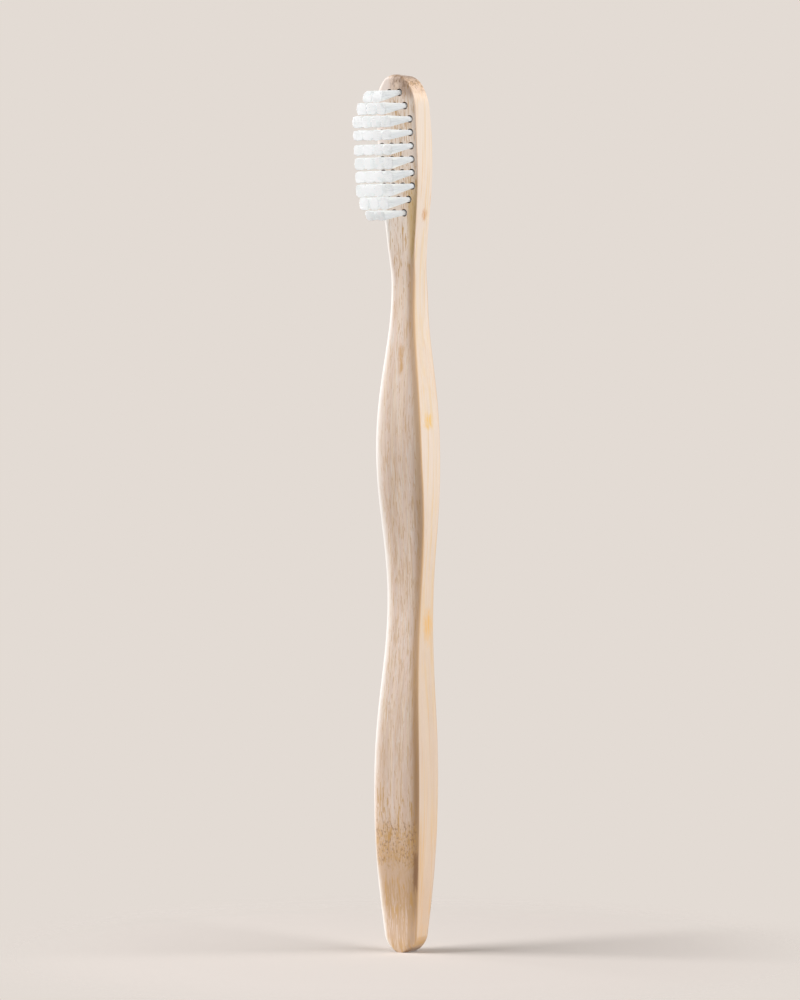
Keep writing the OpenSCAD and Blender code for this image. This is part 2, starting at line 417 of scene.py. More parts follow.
class NodeBook:
    """The node tree of one material or world, with one method that makes any node."""

    def __init__(self, owner: Union[bpy.types.Material, bpy.types.World]) -> None:
        """Empties the owner's node tree."""
        owner.use_nodes = True
        self.tree = owner.node_tree
        self.tree.nodes.clear()

    def node(self, kind: str, settings: Optional[dict[str, Any]] = None,
             inputs: Optional[dict[Any, Any]] = None, output: Any = 0) -> Wire:
        """Adds a node, sets it up and feeds its sockets.

        Args:
            kind: The node's type.
            settings: Its own properties, set before the sockets.
            inputs: A value or wire for each socket, by name or number.
            output: The socket to return.

        Returns:
            The wire from that output.
        """
        made = self.tree.nodes.new(kind)
        for key, value in (settings or {}).items():
            setattr(made, key, value)
        for key, value in (inputs or {}).items():
            if isinstance(value, Wire):
                self.tree.links.new(value.socket, made.inputs[key])
            elif isinstance(value, tuple) and made.inputs[key].type == "RGBA":
                made.inputs[key].default_value = (*value, 1.0)
            else:
                made.inputs[key].default_value = value
        return Wire(self, made.outputs[output] if made.outputs else None)

    def object_mm(self, scale: Triple = (1, 1, 1)) -> Wire:
        """Object coordinates in millimetres.

        Args:
            scale: Factor for each axis.

        Returns:
            The vector's wire.
        """
        coords = self.node("ShaderNodeTexCoord", output="Object")
        size = tuple(v / MM for v in scale)
        return self.node("ShaderNodeMapping", {"vector_type": "POINT"}, {"Vector": coords, "Scale": size})

    def split(self, vector: Wire) -> tuple[Wire, Wire, Wire]:
        """The three parts of a vector."""
        outputs = self.node("ShaderNodeSeparateXYZ", None, {0: vector}).socket.node.outputs
        return tuple(Wire(self, outputs[k]) for k in range(3))

    def faces(self) -> tuple[Wire, Wire, Wire]:
        """The three parts of the direction that the surface faces."""
        return self.split(self.node("ShaderNodeTexCoord", output="Normal"))

    def length(self, vector: Wire) -> Wire:
        """Length of a vector."""
        return self.node("ShaderNodeVectorMath", {"operation": "LENGTH"}, {0: vector}, output="Value")

    def noise(self, pattern: Pattern) -> Wire:
        """Noise on the object coordinates, from about 0.2 to 0.8."""
        inputs = {"Vector": self.object_mm(pattern.cells), "Scale": 1.0, "Detail": pattern.detail,
                  "Roughness": pattern.roughness, "Distortion": pattern.warp}
        return self.node("ShaderNodeTexNoise", None, inputs)

    def blend(self, share: Any, low: Any, high: Any) -> Wire:
        """Colour that goes from low to high as share goes from 0 to 1."""
        inputs = {"Factor": share, 6: low, 7: high}
        return self.node("ShaderNodeMix", {"data_type": "RGBA"}, inputs, output=2)

    def shade(self, colour: Wire, factor: Wire) -> Wire:
        """Colour times a number."""
        grey = self.node("ShaderNodeCombineXYZ", None, {0: factor, 1: factor, 2: factor})
        return self.node("ShaderNodeVectorMath", {"operation": "MULTIPLY"}, {0: colour, 1: grey})

    def bump(self, strength: float, depth: float, height: Wire) -> Wire:
        """Surface relief: height times a depth in millimetres."""
        inputs = {"Strength": strength, "Distance": depth * MM, "Height": height}
        return self.node("ShaderNodeBump", None, inputs)

    def surface(self, shader: Wire) -> None:
        """Feeds the material's or world's output."""
        owner = "World" if isinstance(self.tree.id_data, bpy.types.World) else "Material"
        self.node("ShaderNodeOutput" + owner, None, {"Surface": shader})


class Finish:
    """A finish, which has a name and wires up its own shader."""

    name: str = ""

    def shader(self, book: NodeBook) -> Wire:
        """Adds the finish's nodes to the book and returns its shader."""
        raise NotImplementedError

    def material(self) -> bpy.types.Material:
        """Makes the finish's material.

        Returns:
            The material.
        """
        made = bpy.data.materials.new(self.name)
        book = NodeBook(made)
        book.surface(self.shader(book))
        return made


@dataclass(frozen=True)
class Fleck:
    """A coloured fleck in the bamboo: its centre and reach in millimetres, its strength and colour."""

    centre: Triple
    reach: Triple
    strength: float
    colour: Colour


@dataclass(frozen=True)
class BambooTints:
    """Colours of the bamboo and of its painted highlight and shade, from the palest streaks to the darkest
    marks.
    """

    pale_streak_and_highlight: Colour = srgb(239, 236, 232)
    pink_highlight: Colour = srgb(252, 238, 230)
    bleached: Colour = srgb(246, 234, 222)
    sapwood: Colour = srgb(241, 226, 208)
    pale: Colour = srgb(238, 216, 201)
    deep: Colour = srgb(224, 199, 181)
    cream: Colour = srgb(242, 220, 190)
    straw: Colour = srgb(240, 208, 146)
    gilt: Colour = srgb(232, 184, 120)
    golden: Colour = srgb(200, 156, 92)
    honey: Colour = srgb(205, 160, 107)
    olive: Colour = srgb(202, 166, 96)
    amber: Colour = srgb(198, 160, 118)
    tan: Colour = srgb(196, 164, 132)
    ash: Colour = srgb(158, 138, 120)
    bark: Colour = srgb(146, 116, 92)
    umber: Colour = srgb(142, 106, 76)
    brown: Colour = srgb(118, 84, 54)


@dataclass(frozen=True)
class BambooPatterns:
    """Noise patterns of the bamboo, most of them drawn out along the fibres."""

    broad: Pattern = Pattern((0.40, 0.30, 0.020))
    streaks: Pattern = Pattern((1.5, 1.1, 0.030))
    fibres: Pattern = Pattern((8.0, 1.6, 0.14), 3, 0.6, 0.3)
    dashes: Pattern = Pattern((3.3, 0.5, 0.2), 1.5, 0.5, 1.0)
    pricks: Pattern = Pattern((4.6, 0.8, 0.42), 1, 0.5, 0.8)
    glints: Pattern = Pattern((5.5, 0.7, 0.16), 2, 0.5, 0.8)
    threads: Pattern = Pattern((1.0, 1.5, 0.028), 2, 0.6, 0.3)
    lines: Pattern = Pattern((1.0, 4.0, 0.05), 1.5, 0.5, 0.3)
    slivers: Pattern = Pattern((1.7, 0.5, 0.16), 1.5, 0.5, 0.6)
    patches: Pattern = Pattern((0.45, 0.2, 0.07), 1)
    mottle: Pattern = Pattern((1.5, 1.5, 1.1), 3, 0.6)
    lumps: Pattern = Pattern((2.2, 1.0, 0.8), 3, 0.65, 0.8)
    specks: Pattern = Pattern((2.4, 2.4, 1.3), 2, 0.6)


@dataclass(frozen=True)
class BambooZones:
    """Heights up the brush in millimetres: a mark is absent at a span's first and full at its second."""

    contact_shade: Span = (2.0, 0.8)
    foot: Span = (4.5, 0.5)
    heel: Span = (19.0, 14.0)
    heel_pale: Span = (12.0, 4.0)
    heel_dashes: Span = (18.0, 14.0)
    low_dashes: Span = (40.0, 30.0)
    neck_dashes: Span = (136.0, 150.0)
    crack_foot: Span = (12.5, 15.5)
    crack_top: Span = (23.0, 20.5)
    node_z: float = 24.0
    node_fade: Span = (6.0, 3.0)
    tanned: Span = (32.0, 18.0)
    tanned_foot: Span = (5.0, 14.0)
    light: Span = (20.0, 95.0)
    rust: Span = (34.0, 22.0)
    amber_foot: Span = (22.0, 8.0)
    amber_side: Span = (100.0, 60.0)
    pale_side: Span = (78.0, 125.0)
    head_side: Span = (164.0, 174.0)
    honey_edge: Span = (90.0, 40.0)
    honey_neck: Span = (155.0, 147.0)
    umber_edge: Span = (70.0, 35.0)
    amber_edge: Span = (30.0, 14.0)
    gilt_edge: Span = (40.0, 90.0)
    upper_neck_span: Span = (142.0, 152.0)
    rim_low: Span = (55.0, 24.0)
    rim_heel: Span = (14.0, 21.0)
    bleached_head: Span = (144.0, 160.0)
    bleached_end: Span = (187.0, 184.0)
    margin_foot: Span = (147.0, 153.0)
    margin_top: Span = (170.0, 162.0)
    shore: Span = (148.0, 155.0)
    shore_tip: Span = (183.0, 188.0)
    pink_highlight_span: Span = (170.0, 180.0)
    crown: Span = (184.0, 188.0)
    tip: Span = (185.0, 188.5)
    stain: Span = (183.5, 186.5)
    stain_z: float = 186.0


class BambooCoat:
    """Bamboo painted in layers: each method lays one kind of mark over the colour so far."""

    def __init__(self, book: NodeBook, tints: BambooTints, zones: BambooZones,
                 patterns: BambooPatterns) -> None:
        """Starts from broad pale and deep bands, and works out what several layers share.

        Args:
            book: The node tree to paint in.
            tints: The colours.
            zones: The heights of the marks.
            patterns: The noise patterns.
        """
        self.book, self.tints, self.zones, self.patterns = book, tints, zones, patterns
        self.x, _, self.z = book.split(book.object_mm())
        self.sideways, self.facing, self.upward = book.faces()
        self.flat = abs(self.facing).step(0.55, 0.95)
        self.side = abs(self.sideways).step(0.9, 0.99)
        self.fibres = book.noise(patterns.fibres)
        self.dashes = book.noise(patterns.dashes)
        self.pricks = book.noise(patterns.pricks)
        self.mottle = book.noise(patterns.mottle)
        self.lumps = book.noise(patterns.lumps)
        self.specks = book.noise(patterns.specks)
        self.upper_neck = self.z.step(*zones.upper_neck_span)
        self.tip = self.z.step(*zones.tip)
        self.dash = self.dash_mask()
        self.band = self.band_mask()
        self.crack = self.crack_mask()
        self.colour = book.blend(book.noise(patterns.broad).step(0.3, 0.7), tints.pale, tints.deep)

    def dash_mask(self) -> Wire:
        """Short dashes on the front: peaks of two patterns, in drifts and crowded at the heel.

        Returns:
            The mask.
        """
        crowd = self.z.step(*self.zones.heel_dashes) * 0.09
        drift = (self.book.noise(self.patterns.patches) - 0.5) * 0.2 + crowd
        short = (self.pricks + drift).step(0.62, 0.65) * 0.8
        return (self.dashes + drift).step(0.59, 0.62).peak(short) * self.flat

    def band_mask(self) -> Wire:
        """The node's band on the front: heights near its middle, with a lumpy border."""
        away = abs(self.z - self.zones.node_z + (self.lumps - 0.5) * 8)
        return away.step(*self.zones.node_fade) * self.flat

    def crack_mask(self) -> Wire:
        """The fine crack in the edge below the node: a wavy line between two ragged heights.

        Returns:
            The mask.
        """
        wavy = self.sideways + (self.lumps - 0.5) * 0.3
        line = wavy.step(0.3, 0.52) * wavy.step(0.92, 0.76)
        ragged = (self.z + (self.pricks - 0.5) * 4).step(*self.zones.crack_foot)
        return line * ragged * self.z.step(*self.zones.crack_top)

    def paint(self, mask: Wire, tint: Union[Colour, Wire], strength: float = 1.0) -> None:
        """Lays a tint over the colour so far: a blend by the mask times the strength."""
        self.colour = self.book.blend(mask * strength, self.colour, tint)

    def streaks(self) -> None:
        """Cream streaks all over."""
        self.paint(self.book.noise(self.patterns.streaks).step(0.42, 0.68), self.tints.cream, 0.4)

    def side_faces(self) -> None:
        """Sapwood sides, paler upwards, with straw and gilt threads and amber towards the foot."""
        tints, zones, z, side = self.tints, self.zones, self.z, self.side
        threads = self.book.noise(self.patterns.threads)
        lines = self.book.noise(self.patterns.lines)
        self.paint(side, tints.sapwood, 0.5)
        self.paint(side * z.step(*zones.head_side), tints.sapwood, 0.35)
        self.paint(side * z.step(*zones.pale_side), tints.bleached, 0.34)
        self.paint(side * threads.step(0.5, 0.66), tints.straw, 0.38)
        self.paint(side * lines.step(0.6, 0.68), tints.gilt, 0.5)
        self.paint(side * (z.step(*zones.amber_side) + z.step(*zones.amber_foot)), tints.amber, 0.2)
        self.paint(side * threads.step(0.46, 0.58) * z.step(*zones.rust), tints.gilt, 0.35)

    def edges(self) -> None:
        """Painted shade along the long right edge between front and side: honey, umber towards the foot, and
        a gilt or amber brink.
        """
        tints, zones, z, sideways = self.tints, self.zones, self.z, self.sideways
        turned = self.facing.step(0.4, -0.2) * 0.65 + 0.35
        # Painted shade: the front's right edge, which turns away from both lamps, is painted darker and
        # warmer, most on the front.
        shaded_arris = sideways.step(0.12, 0.5) * sideways.step(0.98, 0.86) * turned
        arris_shade_depth = z.step(*zones.honey_edge) * 0.25 + z.step(*zones.honey_neck) * 0.3 + 0.2
        self.paint(shaded_arris * arris_shade_depth, tints.honey)
        self.paint(shaded_arris * z.step(*zones.umber_edge), tints.umber, 0.45)
        brink = sideways.step(0.6, 0.85) * sideways.step(1.0, 0.97)
        self.paint(brink * z.step(*zones.gilt_edge) * (0.5 - self.upper_neck * 0.4), tints.gilt)
        self.paint(brink * z.step(*zones.amber_edge), tints.amber, 0.6)

    def front_face(self) -> None:
        """Paler streaks in the grain first, then the painted shade of the edges, the bleached head and the
        golden dashes.
        """
        tints, zones, z = self.tints, self.zones, self.z
        self.paint(self.book.noise(self.patterns.glints).step(0.54, 0.64) * self.flat, tints.pale_streak_and_highlight, 0.45)
        self.edges()
        bleached = z.step(*zones.bleached_head) * z.step(*zones.bleached_end)
        self.paint(bleached * self.flat, tints.bleached, 0.7)
        gilded = z.step(*zones.neck_dashes) * 0.35 + z.step(*zones.low_dashes) * 0.35 + 0.5
        self.paint(self.dash * gilded, tints.golden)

    def shading(self) -> None:
        """Light and dark fibres, painted shade that darkens the wood towards the foot, and a painted lighter
        corner on the neck.
        """
        self.colour = self.book.shade(self.colour, (self.fibres - 0.5) * (self.flat * 0.26 + 0.12) + 1.0)
        # Painted shade: darker towards the foot. Painted light: the front's right corner is lighter on the
        # upper neck.
        corner = self.sideways.step(0.08, 0.4) * self.sideways.step(1.0, 0.96)
        light = self.z.step(*self.zones.light) * 0.1 + corner * self.upper_neck * 0.13 + 0.9
        self.colour = self.book.shade(self.colour, light)

    def heel(self) -> None:
        """Tanned lower end, with golden slivers and a paler foot between the sides."""
        tints, zones, z = self.tints, self.zones, self.z
        tanned = (z + (self.mottle - 0.5) * 8).step(*zones.tanned)
        tanned = tanned * (z.step(*zones.tanned_foot) * 0.85 + 0.15)
        self.paint(tanned * (self.flat * 0.55 + 0.15), tints.tan)
        heel = z.step(*zones.heel) * abs(self.sideways).step(0.9, 0.7)
        self.paint(heel * self.book.noise(self.patterns.slivers).step(0.58, 0.63), tints.golden, 0.75)
        self.paint(heel * z.step(*zones.heel_pale), tints.pale, 0.4)

    def node_band(self) -> None:
        """Golden band of the node with umber specks, and the crack."""
        self.paint(self.band * (self.lumps.step(0.45, 0.6) * 0.5 + 0.15), self.tints.golden)
        self.paint(self.band * self.specks.step(0.52, 0.66), self.tints.umber, 0.6)
        self.paint(self.crack, self.tints.umber, 0.8)

    def ends(self) -> None:
        """Gilt and golden tip, straw foot, and the ash crown, bark stain and brown specks of the tip."""
        tints, zones, x, z = self.tints, self.zones, self.x, self.z
        blot = self.mottle - 0.5
        foot = (z + blot * 5).step(*zones.foot)
        self.paint(self.tip * self.side, tints.gilt, 0.4)
        self.paint(self.tip.peak(foot) * self.dashes.step(0.52, 0.6), tints.golden, 0.5)
        self.paint(foot, tints.straw, 0.15)
        crown = self.upward.step(0.2, 0.75) * z.step(*zones.crown)
        self.paint(crown * (x + blot * 2).step(-1.6, 0.4) * self.sideways.step(0.7, 0.35), tints.ash, 0.6)
        stain = (x + (z - zones.stain_z) * 0.5 + blot * 3).step(1.0, 2.8) * z.step(*zones.stain)
        self.paint(stain * self.sideways.step(0.9, 0.4), tints.bark, 0.6)
        self.paint(self.tip * self.specks.step(0.5, 0.6) * x.step(-2.0, 0.5), tints.brown, 0.6)

    def margins(self) -> None:
        """Olive margin beside the bristles; on the other side a painted highlight along the front's left
        edge, with the same pale paint on a strip of the head's flat; and a painted brown shade under the
        foot.
        """
        tints, zones, x, z = self.tints, self.zones, self.x, self.z
        margin = x.step(1.7, 2.9) * z.step(*zones.margin_foot) * z.step(*zones.margin_top)
        self.paint(margin * self.sideways.step(0.85, 0.6), tints.olive, 0.75)
        # Painted highlight: a near-white stripe along the front's left edge, where the left lamp grazes it,
        # narrower towards the foot and pinker towards the tip.
        narrow = z.step(*zones.rim_low) * (z.step(*zones.rim_heel) * 0.22 + 0.06)
        edge_highlight = (self.sideways + narrow).step(-0.02, -0.5) * self.sideways.step(-0.95, -0.85)
        edge_highlight = edge_highlight * self.facing.step(0.6, 0.0)
        shore = (x - z.step(*zones.shore_tip) * 1.6).step(-1.8, -3.6) * z.step(*zones.shore) * self.flat
        pale_streak_and_highlight = self.book.blend(z.step(*zones.pink_highlight_span), tints.pale_streak_and_highlight, tints.pink_highlight)
        self.paint(edge_highlight.peak(shore), pale_streak_and_highlight, 0.9)
        # Painted shade: the foot's downward-facing rounding is painted dark brown where it meets the floor.
        self.paint(self.upward.step(-0.4, -0.85) * z.step(*zones.contact_shade), tints.brown, 0.75)

    def fleck(self, mark: Fleck) -> None:
        """Lays one fleck: a soft ellipsoid about its centre, with a ragged rim and the fibres in it.

        Args:
            mark: The fleck.
        """
        scale = tuple(1 / r for r in mark.reach)
        shift = tuple(-c * s for c, s in zip(mark.centre, scale))
        moved = {0: self.book.object_mm(scale), 1: shift}
        local = self.book.node("ShaderNodeVectorMath", {"operation": "ADD"}, moved)
        ragged = (self.mottle * 0.5 + self.pricks * 0.5 - 0.5) * 1.6
        soft = (self.book.length(local) + ragged).step(1.05, 0.2)
        self.paint(soft * (self.fibres.step(0.4, 0.62) * 0.45 + 0.55), mark.colour, mark.strength)

    def relief(self) -> Wire:
        """Height of the surface: raised fibres, with the dashes, specks and crack sunk."""
        sunk = self.dash * 0.6 + self.band * self.specks + self.tip * self.specks * 0.6 + self.crack
        return self.fibres * 0.6 - sunk


@dataclass(frozen=True)
class BambooFinish(Finish):
    """Bare sanded bamboo: fibres along Z, golden dashes on the front, a node band and flecks."""

    name: str = "bamboo"
    tints: BambooTints = BambooTints()
    zones: BambooZones = BambooZones()
    patterns: BambooPatterns = BambooPatterns()
    flecks: tuple[Fleck, ...] = (
        Fleck((6.0, 0.1, 115.3), (2.2, 2.2, 2.5), 0.95, srgb(243, 200, 122)),
        Fleck((4.5, 1.8, 71.0), (3.2, 2.2, 5.0), 0.95, srgb(238, 188, 110)),
        Fleck((4.4, 0.6, 159.8), (1.6, 1.3, 2.0), 0.85, srgb(214, 158, 98)),
        Fleck((0.75, -3.3, 130.3), (1.15, 2.4, 2.2), 0.9, srgb(206, 156, 84)),
        Fleck((0.9, -3.2, 127.2), (0.8, 2.2, 2.6), 0.85, srgb(206, 156, 84)),
    )
    relief_depth: float = 0.03

    def shader(self, book: NodeBook) -> Wire:
        """Paints the coat, whose later layers cover the earlier ones.

        Args:
            book: The node tree to work in.

        Returns:
            The shader.
        """
        coat = BambooCoat(book, self.tints, self.zones, self.patterns)
        for layer in (coat.streaks, coat.side_faces, coat.front_face, coat.shading, coat.heel,
                      coat.node_band, coat.ends, coat.margins):
            layer()
        for mark in self.flecks:
            coat.fleck(mark)
        return book.node("ShaderNodeBsdfPrincipled", None, {
            "Base Color": coat.colour, "Roughness": coat.fibres * 0.2 + 0.42,
            "Normal": book.bump(0.4, self.relief_depth, coat.relief()), "Specular IOR Level": 0.4,
            "Sheen Weight": 1.0, "Sheen Roughness": 0.2})


@dataclass(frozen=True)
class HoleFinish(Finish):
    """Inside of a drilled hole: raw brown end grain, painted darker still as the shade inside the hole."""

    name: str = "bamboo_hole"
    hole_shade_brown: Colour = srgb(84, 62, 44)
    raw: Colour = srgb(120, 90, 62)
    grain: Pattern = Pattern((3.0, 1.0, 1.0))

    def shader(self, book: NodeBook) -> Wire:
        """Dull mix of the painted shade brown and raw wood."""
        # Painted shade: the hole walls are dark brown, standing in for the shade inside the holes.
        colour = book.blend(book.noise(self.grain).step(0.35, 0.65), self.hole_shade_brown, self.raw)
        return book.node("ShaderNodeBsdfPrincipled", None, {
            "Base Color": colour, "Roughness": 0.85, "Specular IOR Level": 0.2})


@dataclass(frozen=True)
class BristleFinish(Finish):
    """White nylon: satin filaments with faint cool streaks and painted shade, and a painted glow at their cut
    ends.
    """

    name: str = "bristle_nylon"
    white: Colour = srgb(242, 245, 244)
    cool: Colour = srgb(203, 209, 214)
    cut_end: Colour = srgb(248, 250, 252)
    shade_patch: Colour = srgb(214, 221, 219)
    unlit: Colour = srgb(0, 0, 0)
    dim: Colour = srgb(66, 67, 67)
    streaks: Pattern = Pattern((4.0, 0.25, 4.0))
    blurs: Pattern = Pattern((0.45, 0.3, 0.35), 1)
    row_pitch: float = 2.886
    row_phase: float = 0.84
    row_slope: float = 0.125
    end_facing: Span = (-0.3, -0.65)
    away_facing: Span = (0.1, -0.8)
    away_shade: float = 0.28
    lit_across: Span = (6.5, -3.0)
    let_through: float = 0.12
    painted_glow: float = 0.2

    def heart(self, y: Wire, z: Wire) -> Wire:
        """Mask of the middle of every row of tufts: 1 on the row's own plane, 0 between the rows."""
        along = (z - y * self.row_slope) / self.row_pitch + self.row_phase
        return abs(along.fraction() - 0.5).step(0.36, 0.12)

    def shader(self, book: NodeBook) -> Wire:
        """Satin nylon that lets a little light through, with a painted glow at the cut ends.

        Args:
            book: The node tree to work in.

        Returns:
            The shader.
        """
        streak, blur = book.noise(self.streaks), book.noise(self.blurs)
        x, y, z = book.split(book.object_mm())
        sideways, facing, _ = book.faces()
        end = facing.step(*self.end_facing)
        # Painted shade: the middle of each row is darker and cooler than its edges; the streaks are random.
        cooled = self.heart(y, z) * 0.6 + streak.step(0.4, 0.7) * 0.25
        shaft = book.blend(cooled, self.white, self.cool)
        # Painted shade: filament sides that face -X are darker.
        shaft = book.shade(shaft, 1.0 - sideways.step(*self.away_facing) * self.away_shade)
        # Painted shade: soft grey patches on the cut ends.
        face = book.blend(blur.step(0.5, 0.62) * 0.4, self.cut_end, self.shade_patch)
        colour = book.blend(end, shaft, face)
        # Painted glow: the cut ends give off light of their own, most on the tufts towards -X, and the shafts
        # a dim glow.
        lit_end = book.blend(x.step(*self.lit_across), self.unlit, self.cut_end)
        gloss = book.node("ShaderNodeBsdfPrincipled", None, {
            "Base Color": colour, "Roughness": streak * 0.1 + 0.35, "Specular IOR Level": 0.4,
            "Emission Color": book.blend(end, self.dim, lit_end),
            "Emission Strength": self.painted_glow})
        glow = book.node("ShaderNodeBsdfTranslucent", None, {"Color": self.white})
        return book.node("ShaderNodeMixShader", None, {0: self.let_through, 1: gloss, 2: glow})


@dataclass(frozen=True)
class AnchorFinish(Finish):
    """Rolled metal strip with fine drawing lines and cut ends."""

    name: str = "anchor_metal"
    metal: Colour = srgb(205, 186, 142)
    dull: Colour = srgb(168, 150, 112)
    drawn: Pattern = Pattern((2.0, 14.0, 14.0))
    line_depth: float = 0.01

    def shader(self, book: NodeBook) -> Wire:
        """Bright metal with dull, slightly raised lines.

        Args:
            book: The node tree to work in.

        Returns:
            The shader.
        """
        lines = book.noise(self.drawn)
        colour = book.blend(lines.step(0.35, 0.7), self.metal, self.dull)
        return book.node("ShaderNodeBsdfPrincipled", None, {
            "Base Color": colour, "Metallic": 1.0, "Roughness": lines * 0.2 + 0.25,
            "Normal": book.bump(0.3, self.line_depth, lines)})


def dress(piece: bpy.types.Object, material: bpy.types.Material) -> None:
    """Gives a piece one material in all its slots.

    Args:
        piece: The piece.
        material: Its material.
    """
    if not piece.data.materials:
        piece.data.materials.append(material)
    for spot in piece.material_slots:
        spot.link = "DATA"
        spot.material = material


@dataclass
class Handle:
    """The carved bamboo handle and head, drilled for the tufts."""

    shape: HandleShape
    layout: TuftLayout
    finish: BambooFinish = field(default_factory=BambooFinish)
    hole_finish: HoleFinish = field(default_factory=HoleFinish)
    arc_steps: int = 10
    face_steps: int = 6
    stem_rings: int = 240
    head_rings: int = 40
    foot_rings: int = 18
    tip_rings: int = 30
    hole_sides: int = 40
    hole_over: float = 0.5
    sharp_angle: float = math.radians(38)

    def heights(self) -> np.ndarray:
        """Heights of the rings, close together where a quarter ellipse turns fast.

        Returns:
            The heights, from the foot up.
        """
        shape = self.shape
        foot_top = shape.foot_run - shape.foot_cut
        tip_base = shape.length - shape.tip_run + shape.tip_cut
        foot = foot_top * (1 - np.cos(QUARTER * np.arange(self.foot_rings) / self.foot_rings))
        stem = np.linspace(foot_top, shape.stem, self.stem_rings, endpoint=False)
        head = np.linspace(shape.stem, tip_base, self.head_rings, endpoint=False)
        turns = np.sin(QUARTER * np.linspace(0, 1, self.tip_rings + 1))
        return np.concatenate([foot, stem, head, tip_base + (shape.length - tip_base) * turns])

    def skin(self) -> bpy.types.Object:
        """Closed skin: at each height a rectangle with elliptical edges, walked as four arcs and four faces.

        Returns:
            The undrilled handle.
        """
        z = self.heights()[:, None]
        half, front, back = self.shape.half_width(z), self.shape.front(z), self.shape.back(z)
        across, deep = self.shape.edge_across(z), self.shape.edge_deep(z)
        arc = QUARTER * np.arange(self.arc_steps + 1)[None, :] / self.arc_steps
        corners = [(half - across, deep - front, -1), (half - across, back - deep, 0),
                   (across - half, back - deep, 1), (across - half, deep - front, 2)]
        arcs = [(cx + across * np.cos(arc + QUARTER * k), cy + deep * np.sin(arc + QUARTER * k))
                for cx, cy, k in corners]
        walk = np.linspace(0, 1, self.face_steps + 1)[1:-1][None, :]
        xs, ys = [], []
        for (ax, ay), (bx, by) in zip(arcs, arcs[1:] + arcs[:1]):
            xs += [ax, ax[:, -1:] + (bx[:, :1] - ax[:, -1:]) * walk]
            ys += [ay, ay[:, -1:] + (by[:, :1] - ay[:, -1:]) * walk]
        x, y = np.concatenate(xs, axis=1), np.concatenate(ys, axis=1)
        rings, sides = x.shape
        points = np.stack([x, y, np.broadcast_to(z, x.shape)], axis=-1).reshape(-1, 3)
        first = np.arange(sides)
        caps = np.stack([first[::-1], first + (rings - 1) * sides])
        return mesh_piece("bamboo_handle", points, [tube_faces(rings, sides), caps])

    def drills(self, places: list[TuftPlace]) -> bpy.types.Object:
        """One cutter with a round drill for each tuft.

        Args:
            places: Where the tufts stand.

        Returns:
            The cutter.
        """
        turn = FULL_TURN * np.arange(self.hole_sides) / self.hole_sides
        radius = self.layout.hole_d / 2
        levels = (-self.layout.hole_depth, self.hole_over)
        local = np.concatenate([
            np.stack([radius * np.cos(turn), radius * np.sin(turn), np.full_like(turn, level)], axis=1)
            for level in levels])
        caps = np.stack([np.arange(self.hole_sides)[::-1], np.arange(self.hole_sides) + self.hole_sides])
        return self.cutter("drills", places, local, [tube_faces(len(levels), self.hole_sides), caps])

    def slits(self, places: list[TuftPlace]) -> bpy.types.Object:
        """One cutter with the slit that each anchor bites into the bamboo.

        Args:
            places: Where the tufts stand.

        Returns:
            The cutter.
        """
        layout = self.layout
        half = np.array([layout.anchor_len / 2, layout.anchor_t / 2]) + layout.anchor_gap
        low = layout.fold_t - layout.hole_depth - layout.anchor_gap
        high = low + layout.anchor_h + 2 * layout.anchor_gap
        square = np.array([[-1, -1], [1, -1], [1, 1], [-1, 1]]) * half
        c, s = math.cos(layout.anchor_turn), math.sin(layout.anchor_turn)
        square = square @ np.array([[c, s], [-s, c]])
        local = np.concatenate([np.c_[square, np.full(len(square), level)] for level in (low, high)])
        caps = np.array([[3, 2, 1, 0], [4, 5, 6, 7]])
        return self.cutter("slits", places, local, [tube_faces(2, len(square)), caps])

    @staticmethod
    def cutter(name: str, places: list[TuftPlace], local: np.ndarray,
               faces: list[np.ndarray]) -> bpy.types.Object:
        """Repeats one closed shape at every tuft's place.

        Args:
            name: Name of the cutter.
            places: Where the copies go.
            local: The shape's points across, along and out of the flat.
            faces: Its faces.

        Returns:
            One object that holds all the copies.
        """
        points = np.concatenate([place.place(local) for place in places])
        starts = np.arange(len(places))[:, None, None] * len(local)
        grown = [(group[None] + starts).reshape(-1, group.shape[1]) for group in faces]
        return mesh_piece(name, points, grown)

    def cut(self, piece: bpy.types.Object, tool: bpy.types.Object) -> None:
        """Takes the tool's shape out of the piece, with the tool's finish on the cut, and drops the tool.

        Args:
            piece: The piece to cut.
            tool: The cutter.
        """
        modifier = piece.modifiers.new(tool.name, "BOOLEAN")
        modifier.operation = "DIFFERENCE"
        modifier.solver = "EXACT"
        modifier.object = tool
        modifier.material_mode = "TRANSFER"
        graph = bpy.context.evaluated_depsgraph_get()
        result = bpy.data.meshes.new_from_object(piece.evaluated_get(graph))
        piece.modifiers.clear()
        old = piece.data
        piece.data = result
        result.name = piece.name
        bpy.data.meshes.remove(old)
        bpy.data.objects.remove(tool)

    def build(self, places: list[TuftPlace]) -> bpy.types.Object:
        """Makes, drills and dresses the handle.

        Args:
            places: Where the tufts stand.

        Returns:
            The finished handle.
        """
        piece = self.skin()
        dress(piece, self.finish.material())
        walls = self.hole_finish.material()
        for tool in (self.drills(places), self.slits(places)):
            dress(tool, walls)
            self.cut(piece, tool)
        piece.data.shade_smooth()
        piece.data.set_sharp_from_angle(angle=self.sharp_angle)
        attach(piece, ROOT_BODY)
        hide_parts("handle")
        return piece


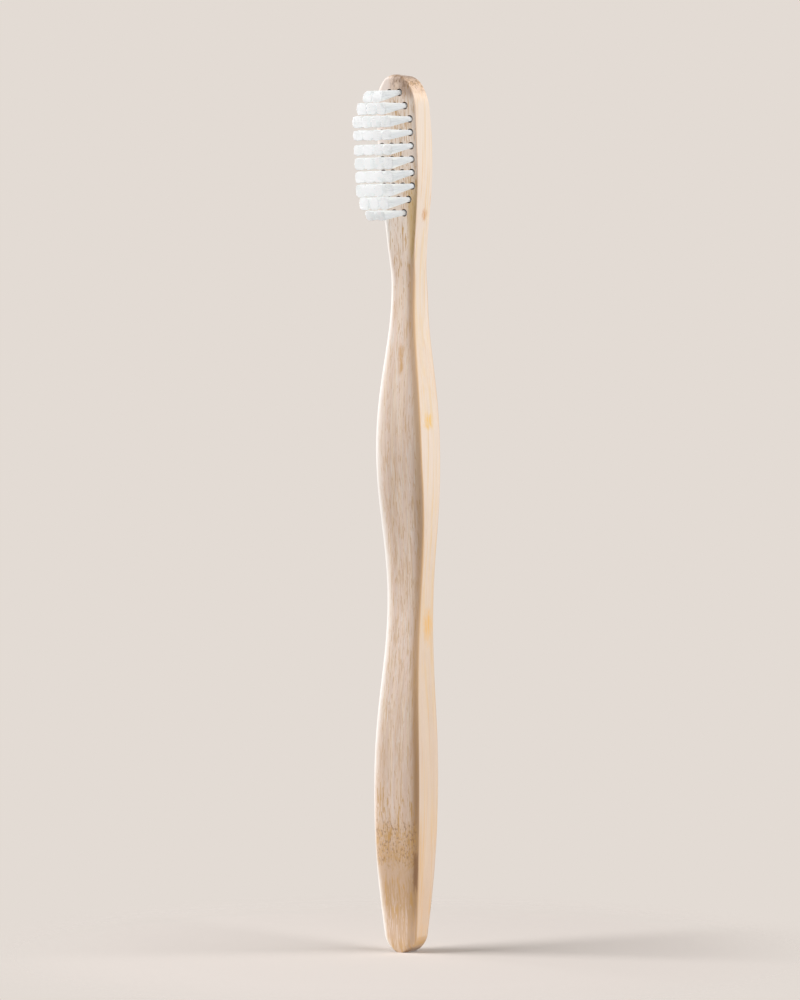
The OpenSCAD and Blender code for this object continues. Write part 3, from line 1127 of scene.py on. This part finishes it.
@dataclass
class Bristles:
    """The tufts: each a packed root in its hole and filaments that flare to a trimmed face."""

    layout: TuftLayout
    finish: BristleFinish = field(default_factory=BristleFinish)
    filaments: int = 150
    filament_d: float = 0.285
    sides: int = 5
    root_start: float = -1.5
    root_r: float = 0.48
    tip_across: float = 1.17
    tip_along: tuple[float, ...] = (1.15, 1.2, 1.2, 1.0, 1.05, 1.2, 1.15, 1.3, 1.26, 0.95)
    hang: tuple[float, ...] = (0.65, 0.33, 0.22, 0.22, 0.48, 0.5, 0.5, 0.52, 0.4, 0.1)
    square_power: float = 4.0
    wander: float = 0.04
    length_scatter: float = 0.015
    bevel_top: float = 1.9
    bevel_foot: float = 0.9
    bevel_reach: float = 2.6
    bevel_lead: float = 1.2
    bevel_power: float = 1.5
    seed: int = 41
    golden_turn: float = math.pi * (3 - math.sqrt(5))
    stops: tuple[float, ...] = (0.0, 0.16, 0.45, 0.75, 0.985, 1.0)
    stop_widths: tuple[float, ...] = (0.52, 0.56, 0.68, 0.84, 1.0, 1.0)
    dome: float = 0.1

    def spread(self) -> tuple[np.ndarray, np.ndarray]:
        """Even spread of filaments over a disc: radius by the root of the rank, turn by the golden angle.

        Returns:
            The radius share and the turn of each filament.
        """
        rank = np.arange(self.filaments)
        return np.sqrt((rank + 0.5) / self.filaments), rank * self.golden_turn

    def trim(self, place: TuftPlace, along: np.ndarray) -> np.ndarray:
        """Length of the filaments of one tuft.

        The brush is trimmed flat, row by row, and falls away at the first and last row
        with the power 1.5 of the distance past the middle of that row.

        Args:
            place: The tuft's place.
            along: Where the filaments end, along the brush from the tuft's middle.

        Returns:
            Length above the flat.
        """
        length = np.full(along.shape, self.layout.bristle_len * self.layout.trim_shares[place.row])
        if place.row == 0:
            past = np.clip((along + self.bevel_lead) / self.bevel_reach, 0, 1)
            length -= self.bevel_top * past ** self.bevel_power
        if place.row == len(self.layout.counts) - 1:
            past = np.clip((self.bevel_lead - along) / self.bevel_reach, 0, 1)
            length -= self.bevel_foot * past ** self.bevel_power
        return length

    def lines(self, place: TuftPlace) -> tuple[np.ndarray, np.ndarray, np.ndarray]:
        """Straight lines of one tuft's filaments, from a round root to a tip with squared sides.

        The tip is a superellipse: each radius is divided by the root, of the squaring
        power, of the sum of cosine and sine to that power.

        Args:
            place: Where the tuft stands.

        Returns:
            The roots and the tips, both across and along the flat, and the lengths.
        """
        rng = np.random.default_rng(self.seed + 100 * place.row + place.column)
        radius, turn = self.spread()
        turn = turn + rng.uniform(0, FULL_TURN)
        c, s, power = np.cos(turn), np.sin(turn), self.square_power
        squared = (np.abs(c) ** power + np.abs(s) ** power) ** (-1 / power)
        root = self.root_r * radius[:, None] * np.stack([c, s], axis=1)
        reach = np.stack([c * self.tip_across, s * self.tip_along[place.row]], axis=1)
        tip = (radius * squared)[:, None] * reach + rng.normal(0, self.wander, reach.shape)
        tip[:, 1] -= self.hang[place.row]
        length = self.trim(place, tip[:, 1]) + rng.normal(0, self.length_scatter, len(tip))
        return root, tip, length

    def filament_points(self, root: np.ndarray, tip: np.ndarray, length: np.ndarray) -> np.ndarray:
        """Points of the filaments: rings round each line, and the top of its low dome.

        Args:
            root: Where the lines leave the flat.
            tip: Where they end.
            length: How far out they end.

        Returns:
            For each filament its points across, along and out of the flat.
        """
        height = self.root_start + np.array(self.stops)[None, :] * (length[:, None] - self.root_start)
        rise = np.clip(height / length[:, None], 0, 1)[:, :, None]
        centre = root[:, None, :] + (tip - root)[:, None, :] * rise
        ring = FULL_TURN * np.arange(self.sides) / self.sides
        circle = np.stack([np.cos(ring), np.sin(ring)], axis=1)
        width = self.filament_d / 2 * np.array(self.stop_widths)
        flat = centre[:, :, None, :] + width[None, :, None, None] * circle[None, None]
        up = np.broadcast_to(height[:, :, None, None], (*flat.shape[:3], 1))
        tubes = np.concatenate([flat, up], axis=-1).reshape(self.filaments, -1, 3)
        domes = np.concatenate([tip, length[:, None] + width[-1] * self.dome], axis=1)[:, None, :]
        return np.concatenate([tubes, domes], axis=1)

    def filament_faces(self) -> list[np.ndarray]:
        """Faces of all filaments of a tuft: their tubes, the triangles of their domes and their roots.

        Returns:
            Three groups of faces, with four, three and as many corners as a ring.
        """
        last = (len(self.stops) - 1) * self.sides
        top = last + self.sides
        side = np.arange(self.sides)
        dome = np.stack([last + side, last + (side + 1) % self.sides, np.full(self.sides, top)], axis=1)
        starts = np.arange(self.filaments)[:, None, None] * (top + 1)
        groups = (tube_faces(len(self.stops), self.sides), dome, side[::-1][None])
        return [(group[None] + starts).reshape(-1, group.shape[1]) for group in groups]

    def tuft(self, place: TuftPlace, material: bpy.types.Material) -> bpy.types.Object:
        """Makes one tuft.

        Args:
            place: Where the tuft stands.
            material: The nylon.

        Returns:
            The finished tuft.
        """
        points = place.place(self.filament_points(*self.lines(place)).reshape(-1, 3))
        name = f"bristles_row{place.row + 1}_{place.column + 1}"
        piece = mesh_piece(name, points, self.filament_faces())
        piece.data.shade_smooth()
        # The photograph has hardly any shade among the tufts, so they cast none and bounce no light.
        piece.visible_shadow = piece.visible_diffuse = False
        dress(piece, material)
        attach(piece, ROOT_BODY)
        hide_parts(place.node)
        return piece

    def build(self, places: list[TuftPlace]) -> list[bpy.types.Object]:
        """Makes every tuft."""
        material = self.finish.material()
        return [self.tuft(place, material) for place in places]


@dataclass
class Anchors:
    """The metal plates that pin the tufts, kept as CAD nodes."""

    layout: TuftLayout
    finish: AnchorFinish = field(default_factory=AnchorFinish)

    def build(self) -> list[bpy.types.Object]:
        """Dresses the anchors of every row.

        Returns:
            The nodes, from the tip down.
        """
        material = self.finish.material()
        rows = [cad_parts[f"anchors_row{row + 1}"] for row in range(len(self.layout.counts))]
        for node in rows:
            dress(node, material)
        return rows


class Side(Enum):
    """Which way a lamp stands from the camera's line, in degrees to the right."""

    LEFT = -82.0
    RIGHT = 70.0
    BEHIND = -120.0


@dataclass(frozen=True)
class Lamp:
    """A square soft lamp aimed at the middle of the brush."""

    side: Side
    elevation: float
    distance: float
    size: float
    power: float
    colour: Colour


@dataclass(frozen=True)
class FloorFinish(Finish):
    """Matt pale floor that is gone a little way from the brush."""

    name: str = "pale_floor"
    tint: Colour = (0.925, 0.934, 0.95)
    fade: Span = (0.105, 0.055)

    def shader(self, book: NodeBook) -> Wire:
        """Matt paint, a shade under the background, that gives way to nothing.

        Args:
            book: The node tree to work in.

        Returns:
            The shader.
        """
        shown = book.length(book.object_mm((MM, MM, 0))).step(*self.fade)
        paint = tuple(level * share for level, share in zip(BACKGROUND, self.tint))
        lit = book.node("ShaderNodeBsdfDiffuse", None, {"Color": paint})
        clear = book.node("ShaderNodeBsdfTransparent")
        return book.node("ShaderNodeMixShader", None, {0: shown, 1: clear, 2: lit})


@dataclass
class Studio:
    """Camera, floor, background and lamps. Its lengths are in metres, but for those named otherwise."""

    azimuth: float = math.radians(34)
    elevation: float = math.radians(2)
    distance: float = 1.0
    picture: tuple[int, int] = (800, 1000)
    pixels_per_mm: float = 4.613
    axis_pixel: float = 406.28
    middle_mm: float = 98.2
    sensor_mm: float = 36.0
    view_range: Span = (0.01, 20.0)
    floor_radius: float = 0.5
    floor_sides: int = 96
    floor_finish: FloorFinish = field(default_factory=FloorFinish)
    fill: float = 0.07
    fill_colour: Colour = (1.0, 0.84, 0.66)
    lamps: tuple[Lamp, ...] = (
        Lamp(Side.LEFT, 33.0, 1.2, 0.75, 17.2, (1.0, 0.99, 0.99)),
        Lamp(Side.RIGHT, 22.0, 1.2, 1.1, 17.0, (1.0, 0.99, 0.99)),
        Lamp(Side.BEHIND, 6.0, 1.2, 0.5, 4.5, (1.0, 1.0, 1.0)),
    )

    def towards(self, turn: float, elevation: float) -> Vector:
        """Unit vector from the brush: sines and cosines of the turn from the camera and the rise.

        Args:
            turn: Angle to the right of the camera, in radians.
            elevation: Angle up, in radians.

        Returns:
            The vector.
        """
        a = self.azimuth + turn
        level = math.cos(elevation)
        return Vector((math.sin(a) * level, -math.cos(a) * level, math.sin(elevation)))

    @staticmethod
    def aim(name: str, data: bpy.types.ID, target: Vector, back: Vector, distance: float) -> bpy.types.Object:
        """Sets up a camera or lamp that looks at a target.

        Args:
            name: Its name.
            data: The camera's or lamp's data.
            target: What it looks at.
            back: Unit vector from the target to it.
            distance: How far off it stands.

        Returns:
            The linked object.
        """
        made = bpy.data.objects.new(name, data)
        bpy.context.collection.objects.link(made)
        made.location = target + back * distance
        made.rotation_mode = "QUATERNION"
        made.rotation_quaternion = (-back).to_track_quat("-Z", "Y")
        return made

    def camera(self) -> None:
        """Camera at the photograph's angle: one pixel at the brush is a known share of a millimetre."""
        data = bpy.data.cameras.new("camera")
        data.sensor_width = self.sensor_mm
        data.lens = self.pixels_per_mm * self.distance / MM * self.sensor_mm / max(self.picture)
        data.clip_start, data.clip_end = self.view_range
        right = Vector((math.cos(self.azimuth), math.sin(self.azimuth), 0))
        off_middle = (self.picture[0] / 2 - self.axis_pixel) / self.pixels_per_mm * MM
        target = right * off_middle + Vector((0, 0, self.middle_mm * MM))
        back = self.towards(0, self.elevation)
        bpy.context.scene.camera = self.aim("camera", data, target, back, self.distance)

    def light(self) -> None:
        """Hangs the lamps round the brush, each aimed at its middle."""
        middle = Vector((0, 0, (CAD_LOW.z + CAD_HIGH.z) / 2))
        for lamp in self.lamps:
            data = bpy.data.lights.new(lamp.side.name.lower(), "AREA")
            data.size = lamp.size
            data.energy = lamp.power
            data.color = lamp.colour
            way = self.towards(math.radians(lamp.side.value), math.radians(lamp.elevation))
            self.aim(data.name, data, middle, way, lamp.distance)

    def world(self) -> None:
        """Even fill light, with the pale background in the camera's and mirrors' rays."""
        made = bpy.data.worlds.new("studio")
        bpy.context.scene.world = made
        book = NodeBook(made)
        path = book.node("ShaderNodeLightPath").socket.node.outputs
        seen = Wire(book, path["Is Camera Ray"]) + Wire(book, path["Is Glossy Ray"])
        seen = seen + Wire(book, path["Is Transmission Ray"])
        fill = book.node("ShaderNodeBackground", None, {"Color": self.fill_colour, "Strength": self.fill})
        pale = book.node("ShaderNodeBackground", None, {"Color": BACKGROUND, "Strength": 1.0})
        book.surface(book.node("ShaderNodeMixShader", None, {0: seen, 1: fill, 2: pale}))

    def floor(self) -> None:
        """Flat disc: sines and cosines of even turns times its radius."""
        turn = FULL_TURN * np.arange(self.floor_sides) / self.floor_sides
        points = np.stack([np.cos(turn), np.sin(turn), np.zeros_like(turn)], axis=1)
        made = mesh_piece("floor", points * self.floor_radius / MM, [np.arange(len(turn))[None]])
        dress(made, self.floor_finish.material())

    def build(self) -> None:
        """Sets up the whole studio."""
        self.camera()
        self.floor()
        self.light()
        self.world()
        bpy.context.scene.view_settings.view_transform = "Standard"


def main() -> None:
    """Builds the studio and every piece in order."""
    logging.basicConfig(level=logging.INFO)
    Studio().build()
    shape, layout = HandleShape(), TuftLayout()
    places = layout.places(shape)
    pieces = [Handle(shape, layout).build(places)]
    pieces += Bristles(layout).build(places)
    pieces += Anchors(layout).build()
    for piece in pieces:
        LOG.info("%s: %d faces", piece.name, len(piece.data.polygons))


if __name__ == "__main__":
    main()
